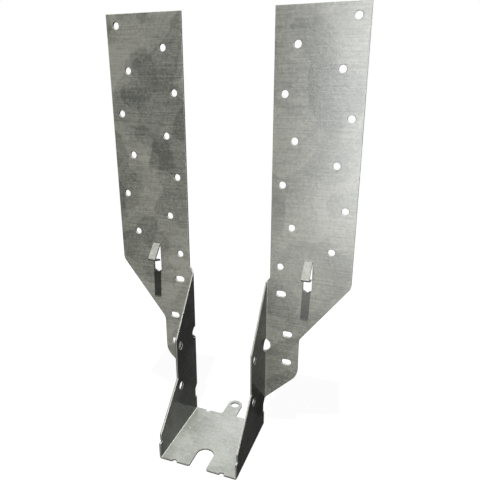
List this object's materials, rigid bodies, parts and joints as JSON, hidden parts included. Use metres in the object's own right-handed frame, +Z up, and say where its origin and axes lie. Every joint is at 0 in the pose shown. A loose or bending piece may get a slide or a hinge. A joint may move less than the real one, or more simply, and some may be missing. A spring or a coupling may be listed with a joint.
{
  "type": "joist hanger",
  "caption": "Long-leg joist hanger folded from one galvanised sheet: a seat between two side plates, with tall nailing flanges and struck speed prongs.",
  "frame": {"origin": "middle of the seat's top face, in the plane of the flanges' back face (the header plane)", "axes": "+X across the joist, +Y back into the header, +Z up along the flanges"},
  "size_m": [0.1224, 0.0549, 0.2077],
  "materials": {
    "galvanised_steel": "hot-dip galvanised mill sheet, soft spangle, matt to satin"
  },
  "bodies": {
    "root": {"joist_hanger": "galvanised_steel"}
  },
  "joints": []
}
